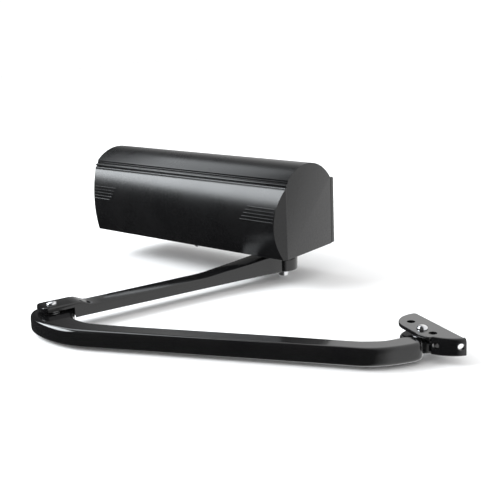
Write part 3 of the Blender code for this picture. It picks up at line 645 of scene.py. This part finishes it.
def forearm_outline():
    """The outline about the elbow: round the eye's left side, along the front, then back."""
    eye = arc((0, 0), ELBOW_EYE, 68, 236, 10)
    front = [(-2, -23.6), (12, -28), (30, -30), (48, -28.9), (66, -24.3), (110, -6), (180, 23.2)]
    front += [(251, 52.8), (280, 65), (300, 73.5), (312, 82.5), (322, 94), (330.6, 108.5)]
    nose = [(329.5, 117), (323, 121.8), (315, 121.2), (308.5, 115.5), (301.5, 103.5), (294, 97)]
    back = [(283, 90), (260, 80.5), (240, 72.6), (200, 56.2), (130, 26.8), (92, 11), (70, 2.6), (56, -1.8)]
    back += [(44, -2.6), (33, -0.6), (22, 6.5), (13, 16)]
    return smooth(in_mm(eye + front + nose + back), 6)


def build_forearm():
    arm = slab("forearm_forging", forearm_outline(), above(FOREARM_BASE), above(FOREARM_TOP), FOREARM_EDGE, 8)
    moved(arm, (ELBOW.x, ELBOW.y, 0))
    place = (SHOE_PIVOT.x, SHOE_PIVOT.y, 0)
    cut(arm, moved(drill(EYE_CLEARANCE, above(EYE_TOP), above(0), FINE), place))
    eye = [(0, EYE_TOP), (SHOE_EYE, EYE_TOP), (SHOE_EYE, EYE_BASE), (0, EYE_BASE)]
    eye = lathe("eye", rounded(in_mm(eye), 2.2 * MM, 7), steps=FINE)
    join(arm, moved(eye, (SHOE_PIVOT.x, SHOE_PIVOT.y, BOTTOM)))
    cut(arm, moved(drill(EYE_HOLE, above(-50), above(0)), place))
    cut(arm, moved(drill(EYE_HOLE, above(-50), above(0)), (ELBOW.x, ELBOW.y, 0)))
    fit(arm, "forearm", "black_enamel", "forearm", sharp=34)


# ---------------------------------------------------------------- shoe

SHOE_ANGLE = math.radians(-27.9)
SHOE_TOP = -10.7
SHEET = 3.2
SHOE_BACK = 17.2
SHOE_FRONT = -10.2
LEFT_BEND = 23.0
RIGHT_BEND = 35.0
RIGHT_CENTRE = 4.2
FLANGE_DROP = 14.4
FLANGE_START = 299.5


def right_curve(radius, start, steps):
    """The shoe's right front curve, from a start angle to its straight edge; x runs along that edge."""
    centre = (RIGHT_CENTRE, SHOE_FRONT + RIGHT_BEND)
    end = 360 - math.degrees(math.asin((centre[1] - SHOE_BACK) / RIGHT_BEND))
    return arc(centre, radius, start, end, steps)


def build_shoe():
    """A half round plate whose right front edge bends down into a flange with two screw holes."""
    bend = 3.4
    left = arc((-37.5 + LEFT_BEND, SHOE_FRONT + LEFT_BEND), LEFT_BEND, 180, 270, 24)
    fore = [point for point in right_curve(RIGHT_BEND, 270, 60) if point[0] < 20.5]
    rest = right_curve(RIGHT_BEND - bend, FLANGE_START + 1.5, 30)
    rest = [point for point in rest if point[1] < SHOE_BACK - 0.8]
    outline = left + fore + rest + [(rest[-1][0], SHOE_BACK), (-35.5, SHOE_BACK), (-37.5, SHOE_BACK - 2)]
    shoe = slab("shoe_pressing", in_mm(outline), (SHOE_TOP - SHEET) * MM, SHOE_TOP * MM, 0.5 * MM, 3)
    section = [(-bend - 1, -0.01), (-bend, -0.01)]
    section += arc((-bend, -bend), bend, 90, 0, 8)[1:]
    section += [(0, -FLANGE_DROP + 0.5), (-0.5, -FLANGE_DROP), (-SHEET + 0.5, -FLANGE_DROP)]
    section += [(-SHEET, -FLANGE_DROP + 0.5), (-SHEET, -bend - 0.2), (-bend, -SHEET + 0.01)]
    section += [(-bend - 1, -SHEET + 0.01)]
    centre = Vector((RIGHT_CENTRE, SHOE_FRONT + RIGHT_BEND))
    rings = []
    for point in right_curve(1.0, FLANGE_START, 40):
        way = Vector(point) - centre
        rings.append([])
        for out, down in section:
            place = centre + way * (RIGHT_BEND + out)
            rings[-1].append((place.x * MM, place.y * MM, (SHOE_TOP + down) * MM))
    join(shoe, stack("flange", rings))
    for x, y, radius in ((0, 0, 4.75), (-19.5, 1.4, 3.6), (13.1, 1.7, 3.6)):
        cut(shoe, moved(drill(radius * MM, (SHOE_TOP - 6) * MM, (SHOE_TOP + 4) * MM), (x * MM, y * MM, 0)))
    for angle in (306, 340):
        aim = Matrix.Rotation(math.radians(angle) + math.pi / 2, 4, "Z")
        turn = aim @ Matrix.Rotation(math.pi / 2, 4, "X")
        place = (centre.x * MM, centre.y * MM, -17 * MM)
        cut(shoe, moved(drill(2.8 * MM, 28 * MM, 40 * MM), place, turn))
    moved(shoe, (SHOE_PIVOT.x, SHOE_PIVOT.y, BOTTOM), Matrix.Rotation(SHOE_ANGLE, 4, "Z"))
    fit(shoe, "shoe", "black_enamel", "shoe_bracket", sharp=34)


def build_shoe_pivot():
    quarter = [math.pi / 2 * step / 10 for step in range(11)]
    profile = dome(-10.4, -7.4, 4.75, quarter) + [(4.5, -10.42), (4.5, -29.4), (0, -29.4)]
    turned_piece("shoe_pin", profile, SHOE_PIVOT, 0, "shoe", "zinc", "shoe_rivet")
    washer("shoe_top_ring", SHOE_PIVOT, 9, 4.8, -16.2, -14.2, "shoe", "shoe_washer")
    washer("shoe_low_ring", SHOE_PIVOT, 9, 4.8, -28.6, -26.8, "shoe", "shoe_end_washer")


# ---------------------------------------------------------------- cover screw and spring


def build_cover_screw():
    low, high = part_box("cover_screw")
    centre = (low + high) / 2
    profile = [(0, 12), (1.7, 12), (1.7, -0.3), (3.3, -0.3), (3.3, -1.6), (2.2, -2.8), (0, -3.1)]
    screw = lathe("cover_fixing_screw", rounded(in_mm(profile), 0.5 * MM, 4))
    slot = block("slot", (-4 * MM, -0.4 * MM, -4 * MM), (4 * MM, 0.4 * MM, -2 * MM))
    cut(screw, slot, moved(block("slot", (-0.4 * MM, -4 * MM, -4 * MM), (0.4 * MM, 4 * MM, -2 * MM))))
    moved(screw, (centre.x, centre.y, BOTTOM))
    fit(screw, "housing", "zinc", "cover_screw")


def build_spring():
    """The closing spring as a coil of round wire."""
    low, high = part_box("closing_spring")
    wire = 2.2 * MM
    radius = 15.5 * MM
    middle = (low + high) / 2
    turns, steps = 12, 40
    curve = bpy.data.curves.new("closing_coil", "CURVE")
    curve.dimensions = "3D"
    curve.bevel_depth = wire
    curve.bevel_resolution = 4
    curve.use_fill_caps = True
    spline = curve.splines.new("POLY")
    spline.points.add(turns * steps)
    for index, point in enumerate(spline.points):
        angle = 2 * math.pi * index / steps
        share = index / (turns * steps)
        x = low.x + wire + (high.x - low.x - 2 * wire) * share
        point.co = (x, middle.y + radius * math.cos(angle), middle.z + radius * math.sin(angle), 1)
    guide = bpy.data.objects.new("closing_coil_guide", curve)
    SCENE.collection.objects.link(guide)
    graph = bpy.context.evaluated_depsgraph_get()
    mesh = bpy.data.meshes.new_from_object(guide.evaluated_get(graph))
    bpy.data.objects.remove(guide)
    coil = bpy.data.objects.new("closing_coil", mesh)
    SCENE.collection.objects.link(coil)
    fit(coil, "housing", "spring_steel", "closing_spring")
    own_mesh(coil)


# ---------------------------------------------------------------- camera, floor and light


def add_camera():
    """Looks down a little from the front right, with a slight roll."""
    azimuth, elevation, roll = (math.radians(angle) for angle in (39.726, 15.075, -2.488))
    back = Vector((
        math.sin(azimuth) * math.cos(elevation),
        -math.cos(azimuth) * math.cos(elevation),
        math.sin(elevation),
    ))
    right = Vector((math.cos(azimuth), math.sin(azimuth), 0))
    up = back.cross(right)
    data = bpy.data.cameras.new("camera")
    data.sensor_width = 36
    data.lens = 66.55
    data.clip_start = 0.05
    data.clip_end = 50
    camera = bpy.data.objects.new("camera", data)
    level = Matrix((right, up, back)).transposed()
    turn = level @ Matrix.Rotation(roll, 3, "Z")
    camera.matrix_world = Matrix.Translation((0.7008, -0.8176, 0.2238)) @ turn.to_4x4()
    SCENE.collection.objects.link(camera)
    SCENE.camera = camera


def add_floor():
    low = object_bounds()[0].z
    reach = 3.0
    points = [(-reach, -reach, low), (reach, -reach, low), (reach, reach, low), (-reach, reach, low)]
    mesh = bpy.data.meshes.new("floor")
    mesh.from_pydata(points, [], [(0, 1, 2, 3)])
    floor = bpy.data.objects.new("floor", mesh)
    SCENE.collection.objects.link(floor)
    paper = bpy.data.materials.new("pale_floor")
    paper.use_nodes = True
    shader = paper.node_tree.nodes["Principled BSDF"]
    shader.inputs["Base Color"].default_value = (0.96, 0.96, 0.96, 1)
    shader.inputs["Roughness"].default_value = 0.9
    shader.inputs["Specular IOR Level"].default_value = 0.1
    mesh.materials.append(paper)
    floor.visible_glossy = False


def add_panel(name, place, target, width, height, radiance):
    """A soft rectangular light, given by how bright its face is."""
    data = bpy.data.lights.new(name, "AREA")
    data.shape = "RECTANGLE"
    data.color = (0.93, 0.97, 1)
    data.size = width
    data.size_y = height
    data.energy = radiance * width * height * math.pi
    panel = bpy.data.objects.new(name, data)
    panel.location = place
    way = Vector(target) - Vector(place)
    panel.rotation_mode = "QUATERNION"
    panel.rotation_quaternion = way.to_track_quat("-Z", "Y")
    panel.visible_camera = False
    SCENE.collection.objects.link(panel)


# The direction that reflections find bright, then the lean towards it and the strengths at both ends
SKY_GLOW = (0.62, 0.78, -0.1)
SKY_RANGE = (-0.12, 0.36, 0.05, 1.15)


def add_light():
    """Soft panels, and a sky that only reflections see: bright low behind, dark in front."""
    add_panel("key_left", (-1.15, -0.95, 1.05), (0.05, -0.1, 0), 1.3, 0.8, 11.5)
    add_panel("upper_left", (-1.0, 0.1, 1.3), (0, -0.05, 0.05), 0.9, 0.9, 2.6)
    world = bpy.data.worlds.new("studio")
    SCENE.world = world
    world.use_nodes = True
    tree = world.node_tree
    background = tree.nodes["Background"]
    background.inputs["Color"].default_value = (1, 1, 1, 1)
    place = node_of(tree, "ShaderNodeTexCoord")
    lean = node_of(tree, "ShaderNodeVectorMath", operation="DOT_PRODUCT")
    tree.links.new(place.outputs["Generated"], lean.inputs[0])
    lean.inputs[1].default_value = SKY_GLOW
    sky = node_of(tree, "ShaderNodeMapRange", interpolation_type="SMOOTHSTEP")
    for name, value in zip(("From Min", "From Max", "To Min", "To Max"), SKY_RANGE):
        sky.inputs[name].default_value = value
    tree.links.new(lean.outputs["Value"], sky.inputs["Value"])
    path = node_of(tree, "ShaderNodeLightPath")
    strength = node_of(tree, "ShaderNodeMix")
    strength.inputs[2].default_value = 1.05
    tree.links.new(path.outputs["Is Glossy Ray"], strength.inputs[0])
    tree.links.new(sky.outputs["Result"], strength.inputs[3])
    tree.links.new(strength.outputs[0], background.inputs["Strength"])
    SCENE.view_settings.view_transform = "Standard"


def dress_nodes():
    """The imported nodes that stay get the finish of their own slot."""
    slots = {part["node"]: part["material_slot"] for part in frame["record"]["subparts"]}
    for name, node in frame["nodes"].items():
        node.data.materials.clear()
        node.data.materials.append(FINISHES[slots[name]])


add_camera()
dress_nodes()
build_cover()
build_plate()
build_cover_screw()
build_main_arm()
build_arm_fixing()
build_elbow()
build_forearm()
build_shoe()
build_shoe_pivot()
build_spring()
add_floor()
add_light()
